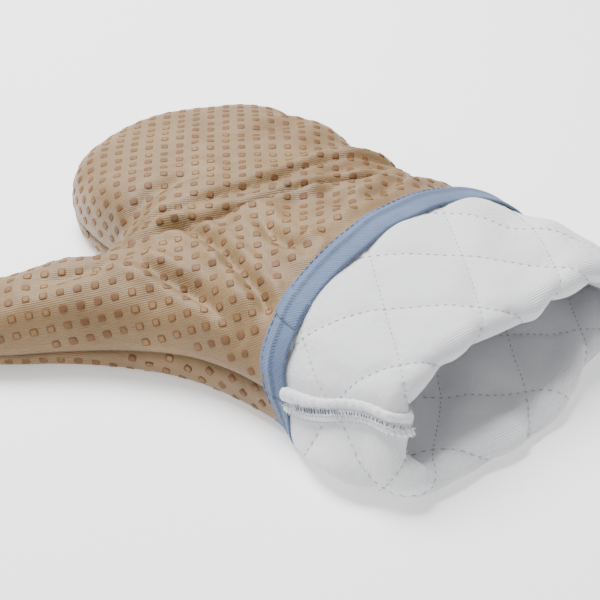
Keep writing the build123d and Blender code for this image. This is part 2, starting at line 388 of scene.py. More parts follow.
@dataclass(frozen=True)
class SiliconeFinish:
    """Translucent caramel silicone, with painted light: each pad's centre takes the lit colour within random
    patches.
    """

    name: str = "caramel_silicone"
    dark: tuple = (0.112, 0.052, 0.019)
    light: tuple = (0.190, 0.094, 0.036)
    lit: tuple = (0.275, 0.160, 0.068)

    def build(self, wear: bpy.types.NodeTree) -> bpy.types.Material:
        """The material.

        Args:
            wear: The shared tone group, whose tone also places the painted light on the pads.

        Returns:
            The new material.
        """
        material, graph, shader = new_material(self.name)
        tone = graph.add("ShaderNodeGroup", node_tree=wear).outputs
        spot = graph.add("ShaderNodeUVMap", uv_map="spot").outputs[0]
        parts = graph.add("ShaderNodeSeparateXYZ", {0: spot}).outputs
        square = graph.math("MAXIMUM", graph.math("ABSOLUTE", parts[0]), graph.math("ABSOLUTE", parts[1]))
        # Painted light: inside random patches of the tone, the centre of each pad takes the lit colour in place
        # of light falling there.
        middle = graph.add("ShaderNodeMapRange", {0: square, 1: 0.72, 2: 0.50, 3: 0.0, 4: 1.0})
        lit_patches = graph.add("ShaderNodeMapRange", {0: tone["Tone"], 1: 0.49, 2: 0.60, 3: 0.0, 4: 0.9})
        body = graph.mix(tone["Height"], (*self.dark, 1), (*self.light, 1))
        painted_light_share = graph.times(middle.outputs[0], lit_patches.outputs[0])
        bump = graph.add("ShaderNodeBump", {"Height": tone["Height"], "Distance": 0.0001})
        graph.feed(shader, {
            "Base Color": graph.mix(painted_light_share, body, (*self.lit, 1)),
            "Roughness": graph.plus(graph.times(tone["Tone"], 0.3), 0.46),
            "Specular IOR Level": 0.3, "Subsurface Weight": 0.25,
            "Subsurface Radius": (0.0015, 0.0008, 0.0004), "Normal": bump.outputs[0]})
        return material


@dataclass
class Fold:
    """A crease pressed into the back panel along a line in plan, with a soft ridge on each side."""

    line: tuple
    depth: float
    width: float
    ridge: float = 0.6


@dataclass
class HandForm:
    """The stuffed hand: its seam outline in plan, and how high each panel stands off the seam."""

    spacing: float = 2.0
    seam_points: int = 420
    mouth_points: int = 90
    rings: tuple = (0.12, 0.45, 1.0, 1.8, 2.9, 4.3, 6.0)
    seam: tuple = (
        (-88, 0), (-89, 26), (-94, 50), (-107, 75), (-124, 97), (-142, 115), (-154, 131), (-155, 146),
        (-146, 156), (-131, 156), (-116, 147), (-98, 136), (-80, 129), (-66, 126), (-59, 131), (-56, 142),
        (-54, 155), (-49, 173), (-39, 190), (-21, 202), (2, 206), (28, 203), (53, 194), (71, 180),
        (80, 160), (82, 135), (78, 100), (73, 66), (74, 40), (80, 18), (88, 0),
    )
    folds: tuple = (
        Fold(((-72, 110), (-50, 92), (-20, 79), (8, 63), (42, 42)), 3.5, 4.2),
        Fold(((-64, 118), (-36, 104), (0, 92), (40, 78), (72, 56)), 2.5, 4.2),
        Fold(((-60, 110), (-52, 84), (-60, 52), (-67, 26), (-72, 8)), 3.0, 4.4),
        Fold(((-84, 92), (-80, 56), (-83, 25)), 3.0, 4.4),
        Fold(((-30, 66), (-38, 44), (-40, 16)), 2.4, 4.8),
        Fold(((6, 50), (-4, 32), (-2, 14)), 1.6, 6.0),
        Fold(((60, 40), (30, 30), (4, 28)), 1.8, 6.0),
        Fold(((-118, 118), (-96, 104), (-76, 98)), 2.0, 5.5),
        Fold(((-62, 124), (-40, 128), (-14, 122)), 2.6, 7.0),
        Fold(((20, 140), (46, 128), (70, 122)), 1.2, 8.0),
        Fold(((-30, 160), (0, 150), (30, 152)), 0.9, 9.0),
    )
    web: tuple = (-68, 119)
    web_reach: float = 19.0
    web_dip: float = 10.0
    fullness: float = 34.0
    back_roll: float = 21.0
    palm_roll: float = 8.5
    palm_lift: float = 0.9
    palm_inset: float = 1.5
    rumples: int = 26
    plan: np.ndarray = field(default=None, repr=False)
    faces: np.ndarray = field(default=None, repr=False)
    rise: np.ndarray = field(default=None, repr=False)
    mouth: np.ndarray = field(default=None, repr=False)

    def __post_init__(self) -> None:
        """Draw the seam's curve."""
        self.edge = through(np.array(self.seam), self.seam_points)

    def lay_out(self) -> None:
        """Triangulate the plan inside the seam, finer towards the seam."""
        edge = self.edge
        cut = np.linspace(CUFF_HALF, -CUFF_HALF, self.mouth_points)[1:-1]
        loop = np.vstack([edge, np.stack([cut, np.zeros(len(cut))], 1)])
        tangent = np.roll(edge, -1, 0) - np.roll(edge, 1, 0)
        tangent[0], tangent[-1] = edge[1] - edge[0], edge[-1] - edge[-2]
        inward = unit(np.stack([tangent[:, 1], -tangent[:, 0]], 1), 0.0)
        clouds = []
        for gap in self.rings:
            ring = edge[1:-1] + inward[1:-1] * gap
            clouds.append(ring[self.clearance(ring, edge) > 0.93 * gap])
        xs = np.arange(-160, 92, self.spacing)
        ys = np.arange(1.5, 208, self.spacing * 0.87)
        grid = np.array([(x + (row % 2) * self.spacing / 2, y) for row, y in enumerate(ys) for x in xs])
        grid = grid[self.inside(grid, loop)]
        clouds.append(grid[self.clearance(grid, edge) > self.rings[-1] + 1.0])
        cloud = np.vstack([loop] + clouds)
        cloud = cloud[(np.arange(len(cloud)) < len(loop)) | (cloud[:, 1] > 0.8)]
        edges = [(k, (k + 1) % len(loop)) for k in range(len(loop))]
        points, _, faces, _, _, _ = delaunay_2d_cdt([Vector(p) for p in cloud], edges, [], 1, 1e-6)
        self.plan = np.array([tuple(p) for p in points])
        self.faces = np.array([tuple(f) for f in faces])
        on_seam = self.clearance(self.plan, edge) < 1e-3
        self.mouth = np.abs(self.plan[:, 1]) < 1e-4
        self.rise = self.inflate(on_seam)

    @staticmethod
    def clearance(points: np.ndarray, edge: np.ndarray) -> np.ndarray:
        """Distance from each point to a polyline, both in plan.

        Args:
            points: The points.
            edge: The polyline.

        Returns:
            One distance per point.
        """
        best = np.full(len(points), 1e9)
        for a, b in zip(edge[:-1], edge[1:]):
            side = b - a
            t = np.clip(((points - a) @ side) / (side @ side), 0, 1)
            best = np.minimum(best, np.linalg.norm(points - a - t[:, None] * side, axis=1))
        return best

    @staticmethod
    def inside(points: np.ndarray, loop: np.ndarray) -> np.ndarray:
        """Which points lie inside a closed polyline.

        Args:
            points: The points.
            loop: The polyline, without its first point repeated.

        Returns:
            True for each point inside.
        """
        hit = np.zeros(len(points), bool)
        for a, b in zip(loop, np.roll(loop, -1, 0)):
            spans = (a[1] > points[:, 1]) != (b[1] > points[:, 1])
            if abs(b[1] - a[1]) > 1e-12:
                hit ^= spans & (points[:, 0] < (b[0] - a[0]) * (points[:, 1] - a[1]) / (b[1] - a[1]) + a[0])
        return hit

    def inflate(self, fixed: np.ndarray) -> np.ndarray:
        """How far stuffing lifts a panel: the root of a membrane held along the seam.

        Args:
            fixed: True for the points on the seam.

        Returns:
            A lift for each point, which is the half width at the middle of a long strip.
        """
        p, f = self.plan, self.faces
        count = len(p)
        rows, cols, weights = [], [], []
        load = np.zeros(count)
        for k in range(3):
            i, j, o = f[:, k], f[:, (k + 1) % 3], f[:, (k + 2) % 3]
            u, v = p[i] - p[o], p[j] - p[o]
            double = np.abs(u[:, 0] * v[:, 1] - u[:, 1] * v[:, 0]) + 1e-9
            cotangent = np.clip((u * v).sum(1) / double, 0.01, 20) / 2
            rows += [i, j]
            cols += [j, i]
            weights += [cotangent, cotangent]
            np.add.at(load, o, double / 6)
        rows, cols, weights = np.concatenate(rows), np.concatenate(cols), np.concatenate(weights)
        diagonal = np.bincount(rows, weights, count)
        free = ~fixed

        def apply(x: np.ndarray) -> np.ndarray:
            """The membrane's stiffness times a shape."""
            return (diagonal * x - np.bincount(rows, weights * x[cols], count)) * free

        lift = relax(apply, diagonal, load * free, np.zeros(count), 1500, 1e-10 * count, 0.0)
        return np.sqrt(np.maximum(2 * lift, 0))

    def seam_height(self, points: np.ndarray) -> np.ndarray:
        """Height of the side seam over the table, lower towards the fingers and the thumb's tip."""
        return 20 - 7 * smooth(points[:, 1], 10, 120) - 1.5 * smooth(-points[:, 0], 80, 140)

    def raise_panel(self, side: Panel) -> np.ndarray:
        """The panel's points in space, folds included.

        Args:
            side: Which panel.

        Returns:
            Points in millimetres, measured from the binding.
        """
        p, s = self.plan, self.rise
        base = self.seam_height(p)
        top_mid = s[self.mouth].max()
        if side is Panel.PALM:
            z = (base - 1.0) * np.exp(-s / self.palm_roll) + self.palm_lift * (1 - np.exp(-s / self.palm_roll))
        else:
            oval = (CUFF_TOP - SEAM_Z) * s / top_mid
            full = self.fullness * (1 - np.exp(-s / self.back_roll)) * (1 - 0.10 * smooth(p[:, 1], 120, 200))
            share = smooth(p[:, 1], 15, 115)
            z = base + oval * (1 - share) + full * share
            web = np.exp(-((p - self.web) ** 2).sum(1) / self.web_reach ** 2)
            z -= self.web_dip * web * smooth(s, 0, 14)
            z += self.fold_depth(p) * smooth(s, 4, 22) * smooth(p[:, 1], 0, 16)
            z += self.rumple(p) * smooth(s, 4, 20) * smooth(p[:, 1], 0, 12)
        lean = (z - SEAM_Z) * BINDING_LEAN * np.clip(1 - p[:, 1] / LEAN_FADE, 0, 1) ** 2
        out = np.column_stack([p[:, 0], p[:, 1] + lean, z])
        if side is Panel.PALM:
            inset = self.palm_inset * np.exp(-s / 3.0) * smooth(p[:, 1], 2, 14)
            out[:, :2] -= self.outward() * inset[:, None]
        return out

    def outward(self) -> np.ndarray:
        """The direction in plan out of the mitt for each point near the seam, and zero further in.

        Returns:
            One direction per point.
        """
        away = np.zeros_like(self.plan)
        near = np.where(self.rise < 14)[0]
        gaps = np.linalg.norm(self.plan[near, None] - self.edge[None], axis=2)
        tangent = np.gradient(self.edge, axis=0)
        normal = unit(np.column_stack([-tangent[:, 1], tangent[:, 0]]), 0.0)
        away[near] = normal[gaps.argmin(1)]
        return away

    def fold_depth(self, p: np.ndarray) -> np.ndarray:
        """Height added by the pressed folds.

        Args:
            p: Points in plan.

        Returns:
            One height per point.
        """
        total = np.zeros(len(p))
        for fold in self.folds:
            line = through(np.array(fold.line), 60)
            away = self.clearance(p, line)
            ends = np.minimum(np.linalg.norm(p - line[0], axis=1), np.linalg.norm(p - line[-1], axis=1))
            taper = smooth(ends + 0.4 * fold.width, 0, 14)
            q = away / fold.width
            total += taper * fold.depth * (
                fold.ridge * np.exp(-((q - 1.5) / 0.8) ** 2) - np.exp(-(q / 0.55) ** 2))
        return total

    def rumple(self, p: np.ndarray) -> np.ndarray:
        """Small random undulation of stuffed cloth, mostly across the wrist.

        Args:
            p: Points in plan.

        Returns:
            One height per point.
        """
        total = np.zeros(len(p))
        draws = np.random.default_rng(5)
        for _ in range(self.rumples):
            angle = draws.normal(0.5, 0.7)
            wave = draws.uniform(14, 46)
            phase = draws.uniform(0, math.tau)
            along = p[:, 0] * math.sin(angle) + p[:, 1] * math.cos(angle)
            across = p[:, 0] * math.cos(angle) - p[:, 1] * math.sin(angle)
            bend = 0.6 * np.sin(across / 23 + phase)
            total += wave / 46 * 0.42 * np.sin(along * math.tau / wave + phase + bend)
        return total * (0.45 + 0.75 * np.exp(-((p[:, 1] - 55) / 50) ** 2))


@dataclass
class ShellPanels:
    """The tan outer cloth: back and palm panels, with their silicone pads.

    A pad is left out nearer than binding_gap to the binding or than margin to the side seam's height, where it
    would reach further than reach_limit off the panel, and where it would be drawn together in a crease.
    """

    form: HandForm
    thickness: float = 0.9
    pad: float = 3.8
    pitch: float = 7.8
    pad_height: float = 0.25
    pad_sides: int = 12
    pad_profile: tuple = ((1.0, -0.8), (0.98, 0.6), (0.90, 1.0), (0.5, 1.0))
    pad_rows: int = 60
    margin: float = 2.8
    binding_gap: float = 9.6
    reach_limit: float = 1.8
    unroll_steps: int = 24

    def cloth_coordinates(self, points: np.ndarray) -> np.ndarray:
        """Flat cloth coordinates: the panel unrolled until its edges have the lengths they have in space.

        Args:
            points: The panel's points in space.

        Returns:
            Flat coordinates in millimetres.
        """
        tris = self.form.faces
        sides = np.vstack([tris[:, [0, 1]], tris[:, [1, 2]], tris[:, [2, 0]]])
        pairs = np.unique(np.sort(sides, axis=1), axis=0)
        i, j = pairs.T
        target = np.linalg.norm(points[i] - points[j], axis=1)
        flat = self.form.plan.copy()
        count = len(flat)
        diagonal = np.bincount(i, minlength=count) + np.bincount(j, minlength=count) + 1e-4

        def apply(x: np.ndarray) -> np.ndarray:
            """The edge network's stiffness times one coordinate."""
            return diagonal * x - np.bincount(i, x[j], count) - np.bincount(j, x[i], count)

        for _ in range(self.unroll_steps):
            gap = flat[j] - flat[i]
            wanted = gap * (target / (np.linalg.norm(gap, axis=1) + 1e-9))[:, None]
            for axis in range(2):
                load = np.bincount(j, wanted[:, axis], count) - np.bincount(i, wanted[:, axis], count)
                start = flat[:, axis].copy()
                flat[:, axis] = relax(apply, diagonal, load + 1e-4 * start, start, 60)
        error = np.abs(np.linalg.norm(flat[j] - flat[i], axis=1) / target - 1)
        LOG.info("unrolled, edge error: mean %.3f, worst twentieth %.3f", error.mean(),
                 np.quantile(error, 0.95))
        return flat

    def build(self, side: Panel, cloth: bpy.types.Material, silicone: bpy.types.Material) -> np.ndarray:
        """Make one panel and its pads.

        Args:
            side: Which panel.
            cloth: The shell's finish.
            silicone: The pads' finish.

        Returns:
            The panel's points.
        """
        label = side.name.lower()
        points = self.form.raise_panel(side)
        faces = self.form.faces if side is Panel.BACK else self.form.faces[:, ::-1]
        uv = self.cloth_coordinates(points)
        piece = new_object(f"{label}_shell_cloth", points, faces.tolist(), cloth, uv)
        body = piece.modifiers.new("cloth", "SOLIDIFY")
        body.thickness = self.thickness * MM
        body.offset = -1
        ride(piece, "shell_cloth", f"{label}_shell")
        ride(self.pads(side, points, uv, silicone), "silicone", f"{label}_grip_pads")
        return points

    def pad_spots(self, size: float) -> list:
        """One pad's points about its centre.

        Args:
            size: Half the pad's width.

        Returns:
            Two distances on the cloth and a share of the pad's height for each point.
        """
        spots = []
        for scale, lift in self.pad_profile:
            for step in range(self.pad_sides):
                turn = math.tau * (step + 0.5) / self.pad_sides
                c, s = math.cos(turn), math.sin(turn)
                reach = size * scale / (abs(c) ** 5 + abs(s) ** 5) ** 0.2
                a, b = reach * c, reach * s
                spots.append(((a - b) * HALF_TURN, (a + b) * HALF_TURN, lift))
        return spots + [(0.0, 0.0, 1.0)]

    def pad_faces(self, side: Panel) -> list:
        """One pad's faces.

        Args:
            side: Which panel the pad is on.

        Returns:
            Faces as numbers of the pad's own points.
        """
        n, rows = self.pad_sides, len(self.pad_profile)
        faces = quads(rows, n, wrap_columns=True)
        top = (rows - 1) * n
        faces += [(top + step, top + (step + 1) % n, top + n) for step in range(n)]
        faces.append(tuple(reversed(range(n))))
        return faces if side is Panel.BACK else [face[::-1] for face in faces]

    def pads(self, side: Panel, points: np.ndarray, uv: np.ndarray,
             silicone: bpy.types.Material) -> bpy.types.Object:
        """Rounded square pads that follow the cloth.

        Args:
            side: Which panel.
            points: The panel's points in space.
            uv: Its cloth coordinates.
            silicone: Their finish.

        Returns:
            The object of all the pads.
        """
        form = self.form
        tris = form.faces
        normal = np.zeros_like(points)
        cross = np.cross(points[tris[:, 1]] - points[tris[:, 0]], points[tris[:, 2]] - points[tris[:, 0]])
        for k in range(3):
            np.add.at(normal, tris[:, k], cross)
        normal = unit(normal, 1e-12)
        normal *= np.sign(normal[:, 2:3] + 1e-9) * side.value
        flat = BVHTree.FromPolygons([Vector((a, b, 0)) for a, b in uv], tris.tolist())
        skin = BVHTree.FromPolygons([Vector(q) for q in points], tris.tolist())
        diagonal = self.pitch / math.sqrt(2)
        template = self.pad_faces(side)
        verts, faces, texture, local = [], [], [], []
        for row in range(-self.pad_rows, self.pad_rows):
            for column in range(-self.pad_rows, self.pad_rows):
                centre = np.array([(row - column) * diagonal, (row + column) * diagonal + 3])
                size = self.pad * (1 + RNG.normal(0, 0.03)) / 2
                spots = self.pad_spots(size)
                placed = self.place(spots, centre, flat, skin, uv, points, normal)
                if placed is None:
                    continue
                faces += [tuple(len(verts) + spot for spot in face) for face in template]
                verts += placed
                texture += [(centre[0] + a, centre[1] + b) for a, b, _ in spots]
                local += [((a + b) * HALF_TURN / size, (b - a) * HALF_TURN / size) for a, b, _ in spots]
        return new_object(f"{side.name.lower()}_silicone_pads", np.array(verts), faces, silicone,
                          np.array(texture), np.array(local))

    def place(self, spots: list, centre: np.ndarray, flat: BVHTree, skin: BVHTree, uv: np.ndarray,
              points: np.ndarray, normal: np.ndarray) -> list | None:
        """Seat one pad on the panel at its true size.

        Args:
            spots: The pad's points about its centre, with a share of its height each.
            centre: Its centre on the flat cloth.
            flat: The flat cloth's faces.
            skin: The panel's faces in space.
            uv: Cloth coordinates.
            points: The panel's points in space.
            normal: Outward directions at those points.

        Returns:
            The points in space, or None where the pad is left out.
        """
        tris = self.form.faces
        hit, _, index, gap = flat.find_nearest(Vector((centre[0], centre[1], 0)))
        if index is None or gap > 0.01:
            return None
        i, j, k = tris[index]
        sides = np.column_stack([uv[j] - uv[i], uv[k] - uv[i]]) + np.eye(2) * 1e-9
        v, w = np.linalg.solve(sides, np.array([hit.x, hit.y]) - uv[i])
        middle = points[i] * (1 - v - w) + points[j] * v + points[k] * w
        out = unit(normal[i] * (1 - v - w) + normal[j] * v + normal[k] * w)
        edges = np.column_stack([points[j] - points[i], points[k] - points[i]])
        along = (edges @ np.linalg.inv(sides))[:, 0]
        along = unit(along - out * (along @ out))
        across = np.cross(out, along) * (1 if out[2] * normal[:, 2].sum() > 0 else -1)
        if middle[1] < self.binding_gap + (middle[2] - SEAM_Z) * BINDING_LEAN:
            return None
        placed = []
        for a, b, lift in spots:
            near, _, face, gap = skin.find_nearest(Vector(middle + along * a + across * b))
            if face is None or gap > self.reach_limit:
                return None
            n = 0.5 * unit(normal[tris[face]].mean(0)) + 0.5 * out
            placed.append(np.array(near) + n * lift * self.pad_height)
        first = np.array(placed[:self.pad_sides])
        size = np.linalg.norm(first - first.mean(0), axis=1)
        seam = self.form.seam_height(middle[None])[0]
        if size.min() < 0.30 * self.pad or abs(middle[2] - seam) < self.margin:
            return None
        return placed


@dataclass
class SurfaceGrid:
    """A closed sleeve of cloth as a grid: rows run along it, columns run round it."""

    places: np.ndarray
    along: np.ndarray
    around: np.ndarray
    girth: float
    facing: np.ndarray | None = None

    def normals(self) -> np.ndarray:
        """Outward directions at the grid's points."""
        across = np.roll(self.places, -1, 1) - np.roll(self.places, 1, 1)
        return unit(np.cross(np.gradient(self.places, axis=0), across))

    def at(self, u: float, v: float, lift: float = 0.0) -> np.ndarray:
        """A point on the sleeve.

        Args:
            u: Distance round it, in millimetres.
            v: Distance along it, in millimetres.
            lift: How far out from the cloth.

        Returns:
            The point in millimetres.
        """
        count = len(self.around)
        column = (u / self.girth) * count % count
        i = int(column)
        a = column - i
        j = (i + 1) % count
        row = float(np.clip(np.interp(v, self.along, np.arange(len(self.along))), 0, len(self.along) - 1.001))
        r = int(row)
        b = row - r
        shares = ((r, i, (1 - a) * (1 - b)), (r, j, a * (1 - b)), (r + 1, i, (1 - a) * b), (r + 1, j, a * b))
        corner = sum(self.places[y, x] * share for y, x, share in shares)
        if lift:
            corner = corner + unit(sum(self.facing[y, x] * share for y, x, share in shares)) * lift
        return corner

    def settle(self) -> None:
        """Work out the outward directions once the shape is final."""
        self.facing = self.normals()

    def faces(self) -> list:
        """Quads of the sleeve."""
        return quads(*self.places.shape[:2], wrap_columns=True)


@dataclass
class Cuff:
    """The cuff's loop at the binding, and every sleeve that hangs from it."""

    loop: np.ndarray
    turnout: float = 71.0
    columns: int = 400
    mouth_over: tuple = ((-84, 35), (-80, 44), (-70, 50), (-52, 53), (-30, 54), (0, 54), (36, 51), (62, 44),
                         (79, 33), (86, 20))
    mouth_under: tuple = ((86, 20), (84, 9), (76, 2), (60, 0.6), (0, 0.6), (-56, 0.6), (-78, 1.6), (-87, 8),
                          (-89, 21), (-84, 35))
    rim_high: tuple = ((-84, -57), (-52, -57), (-36, -60), (3, -65), (43, -71), (88, -74))
    rim_low: tuple = ((-91, -71), (-65, -77), (-41, -84), (-29, -88), (4, -84), (39, -76), (88, -68))

    deep_at: tuple = (0, 10, 45, 95, 150, 180)
    deep_width: tuple = (88, 87, 76, 64, 60, 46)
    deep_shift: tuple = (0, 0, -4, 8, 12, 12)
    deep_height: tuple = (1, 1, 0.9, 0.78, 0.66, 0.5)
    sag: float = 1.5
    corner: tuple = (-90, 4)
    corner_spread: tuple = (26, 14)
    corner_bulge: float = 15.0

    def __post_init__(self) -> None:
        """Even out the loop and find its outward directions."""
        closed = np.vstack([self.loop, self.loop[:1]])
        self.girth = float(np.linalg.norm(np.diff(closed, axis=0), axis=1).sum())
        self.loop = resample(closed, self.columns, True)
        self.normal = self.outward(self.loop)
        over = through(np.array(self.mouth_over), 400)
        under = through(np.array(self.mouth_under), 400)
        far = int(np.argmax(self.loop[:, 0]))
        self.rim = np.vstack([resample(over, far, True), resample(under, self.columns - far, True)])
        for _ in range(4):
            self.rim = (np.roll(self.rim, 1, 0) + 2 * self.rim + np.roll(self.rim, -1, 0)) / 4

    @staticmethod
    def outward(loop: np.ndarray) -> np.ndarray:
        """Outward directions of a closed loop across the cuff.

        Args:
            loop: The loop's points, across and up.

        Returns:
            One direction per point.
        """
        tangent = np.roll(loop, -1, 0) - np.roll(loop, 1, 0)
        normal = unit(np.column_stack([-tangent[:, 1], tangent[:, 0]]))
        if ((loop - np.array([0.0, 24.0])) * normal).sum() < 0:
            normal = -normal
        for _ in range(6):
            normal = (np.roll(normal, 1, 0) + 2 * normal + np.roll(normal, -1, 0)) / 4
        return normal / np.linalg.norm(normal, axis=1)[:, None]

    def rim_y(self, x: np.ndarray, z: np.ndarray) -> np.ndarray:
        """How far the rim lies from the binding, for points round the mouth.

        Args:
            x: Distances across the cuff.
            z: Heights over the table.

        Returns:
            One distance per point, negative towards the mouth.
        """
        low = np.interp(x, *np.array(self.rim_low).T)
        high = np.interp(x, *np.array(self.rim_high).T)
        share = smooth(z, 0, 44)
        return low * (1 - share) + high * share

    def ring(self, along: float, offset: float) -> np.ndarray:
        """One ring of a sleeve.

        Args:
            along: Distance from the binding, positive towards the mouth and negative into the hand.
            offset: Distance out from the cuff's own surface.

        Returns:
            Points in millimetres.
        """
        if along >= 0:
            share = along / self.turnout
            blend = float(smooth(share, -0.1, 1.0))
            loop = self.loop * (1 - blend) + self.rim * blend
            swing = math.sin(math.pi * min(share, 1.0))
            loop = loop + self.outward(loop) * (offset + self.sag * swing)
            x, z = loop.T
            corner = np.exp(-((x - self.corner[0]) / self.corner_spread[0]) ** 2)
            corner *= np.exp(-((z - self.corner[1]) / self.corner_spread[1]) ** 2)
            x = x - self.corner_bulge * corner * swing
            y = (z - SEAM_Z) * BINDING_LEAN * (1 - share) + self.rim_y(x, z) * share
        else:
            x, z = (self.loop + self.normal * offset).T
            deep = -along
            half, shift, tall = (np.interp(deep, self.deep_at, row)
                                 for row in (self.deep_width, self.deep_shift, self.deep_height))
            x = x * (half / CUFF_HALF) + shift
            z = np.where(z > SEAM_Z, SEAM_Z + (z - SEAM_Z) * tall, z)
            y = deep + (z - SEAM_Z) * BINDING_LEAN * max(0.0, 1 - deep / LEAN_FADE) ** 2
        return np.column_stack([x, y, z])


@dataclass(frozen=True)
class Tuck:
    """A loose fold pressed into the lining's outside, from start to end along it."""

    place: float
    start: float
    end: float
    depth: float
    width: float


@dataclass
class Lining:
    """The white quilted lining: out past the binding, over the rim and back down into the hand."""

    cuff: Cuff
    roll: float = 5.4
    under: float = 0.6
    depth: float = 158.0
    quilts_round: int = 8
    quilt_start: float = 6.0
    puff: float = 2.3
    stitch: float = 1.5
    gap: float = 3.3
    stitched_length: float = 157.0
    tucks: tuple = (Tuck(24, 6, 66, 1.6, 6), Tuck(70, 10, 50, 1.3, 8), Tuck(-27, 24, 76, 4.0, 5),
                    Tuck(150, 30, 66, 1.2, 9))
    inner_folds: tuple = ((180, 0.5, 3.5), (300, -0.3, 3.0), (100, 0.2, 2.4), (390, 0.4, 2.6))
    calm: SurfaceGrid | None = None

    def build(self, cloth: bpy.types.Material, thread: bpy.types.Material) -> None:
        """Make the lining and its quilting stitches, and keep the unquilted sleeve for what lies on it.

        Args:
            cloth: The lining's finish.
            thread: The thread's finish.
        """
        cuff = self.cuff
        straight = cuff.turnout - self.roll
        rings = [cuff.ring(a, -self.under) for a in np.linspace(-7, straight, 58)]
        for turn in np.linspace(0, math.pi, 18)[1:]:
            rings.append(cuff.ring(straight + self.roll * math.sin(turn),
                                   -self.under - self.roll * (1 - math.cos(turn))))
        inner = -self.under - 2 * self.roll
        rings += [cuff.ring(a, inner) for a in np.linspace(straight, -self.depth, 150)[1:]]
        last = rings[-1]
        centre = last.mean(0)
        for share in (0.8, 0.5, 0.15):
            rings.append(centre + (last - centre) * share + np.array([0, 10 * (1 - share), 0]))
        places = np.array(rings)
        step = np.linalg.norm(np.diff(places, axis=0), axis=2).mean(1)
        along = np.concatenate([[0], np.cumsum(step)])
        around = np.arange(cuff.columns) * cuff.girth / cuff.columns
        grid = SurfaceGrid(places, along, around, cuff.girth)
        grid.settle()
        self.calm = SurfaceGrid(grid.places.copy(), along, around, cuff.girth, grid.facing)
        self.quilt(grid)
        grid.places[:, :, 2] = np.maximum(grid.places[:, :, 2], TABLE_GAP)
        grid.settle()
        u, v = np.meshgrid(grid.around, grid.along)
        uv = np.column_stack([u.ravel(), v.ravel()])
        piece = new_object("quilted_lining", grid.places.reshape(-1, 3), grid.faces(), cloth, uv)
        ride(piece, "lining_cloth", "back_lining", "palm_lining", "back_wadding", "palm_wadding")
        self.stitches(grid, thread)

    def quilt(self, grid: SurfaceGrid) -> None:
        """Puff the cloth between the quilting lines, with pinched lines and loose folds.

        Args:
            grid: The lining's sleeve, which is changed.
        """
        girth = grid.girth
        span = girth / self.quilts_round
        u, v = np.meshgrid(grid.around, grid.along)
        v = v + self.quilt_start
        one, two = (np.abs(((u + sign * v) / span + 0.5) % 1 - 0.5) * span / math.sqrt(2) for sign in (1, -1))
        near = np.minimum(one, two)
        lift = self.puff * (1 - np.exp(-near / 5.0)) - 0.4 * self.puff
        run = np.where(one < two, u - v, u + v)
        lift += 0.35 * np.sin(run * math.tau / 6.4 + 2 * np.sin(run / 17)) * np.exp(-near / 3.2)
        draws = np.random.default_rng(3)
        for _ in range(16):
            turns = draws.integers(2, 11)
            wave = draws.uniform(18, 60)
            lift += 0.30 * np.sin(u * math.tau * turns / girth + v * math.tau / wave + draws.uniform(0, 6))
        outer = 1 - smooth(v, 70, 84)
        for tuck in self.tucks:
            away = (u - tuck.place + girth / 2) % girth - girth / 2 + 0.25 * (v - tuck.start)
            lift -= outer * tuck.depth * np.exp(-(np.abs(away) / tuck.width) ** 2) * (
                smooth(v, tuck.start, tuck.start + 12) * (1 - smooth(v, tuck.end - 10, tuck.end)))
        inner = smooth(v, 84, 96)
        for place, slant, depth in self.inner_folds:
            away = (u - place + slant * (v - 90) + girth / 2) % girth - girth / 2
            lift += inner * depth * (np.exp(-(away / 9) ** 2) - 0.5 * np.exp(-((away - 14) / 8) ** 2))
        lift *= 0.55 + 0.45 * smooth(v, 50, 88)
        seam = np.minimum(u, girth - u)
        lift *= 1 - 0.9 * np.exp(-(seam / 9.0) ** 2)
        lift *= smooth(grid.along, 2, 16)[:, None] * (1 - 0.8 * smooth(grid.along, 170, 220)[:, None])
        grid.places += grid.facing * lift[:, :, None]

    def stitches(self, grid: SurfaceGrid, thread: bpy.types.Material) -> None:
        """Running stitches along the quilting lines, where they can be seen.

        Args:
            grid: The lining's quilted sleeve.
            thread: The thread's finish.
        """
        span = grid.girth / self.quilts_round
        verts, faces = [], []
        for sign in (1, -1):
            for line in range(self.quilts_round):
                run = 0.0
                while run < self.stitched_length * math.sqrt(2):
                    v = 8 + run / math.sqrt(2)
                    u = line * span - sign * (v + self.quilt_start)
                    bit = self.stitch * (0.85 + 0.3 * RNG.random()) / 2
                    ends = [grid.at(u - sign * s * bit * HALF_TURN, v + s * bit * HALF_TURN, 0.2)
                            for s in (-1, 1)]
                    add_stitch(verts, faces, ends[0], ends[1], 0.24)
                    run += self.gap
        piece = new_object("quilting_stitches", np.array(verts), faces, thread)
        ride(piece, "white_thread", "back_quilting_thread", "palm_quilting_thread")


def add_tube(verts: list, faces: list, path: np.ndarray, radius: float | np.ndarray, sides: int = 5,
             up: tuple = (0.17, 0.22, 0.96)) -> None:
    """Add a thin closed tube along a path to a list of points and faces.

    Args:
        verts: The points, which grow.
        faces: The faces, which grow.
        path: Points along the tube's middle.
        radius: Its radius, or one for each point.
        sides: How many sides it has.
        up: A direction that the tube never runs along.
    """
    path = np.asarray(path)
    first, last = len(verts), len(verts) + (len(path) - 1) * sides
    for place, along, reach in zip(path, unit(np.gradient(path, axis=0)), np.broadcast_to(radius, len(path))):
        side = unit(np.cross(along, up))
        other = np.cross(along, side)
        for step in range(sides):
            turn = math.tau * step / sides
            verts.append(place + (side * math.cos(turn) + other * math.sin(turn)) * reach)
    faces += [tuple(first + spot for spot in face) for face in quads(len(path), sides, wrap_columns=True)]
    faces.append(tuple(first + step for step in reversed(range(sides))))
    faces.append(tuple(last + step for step in range(sides)))


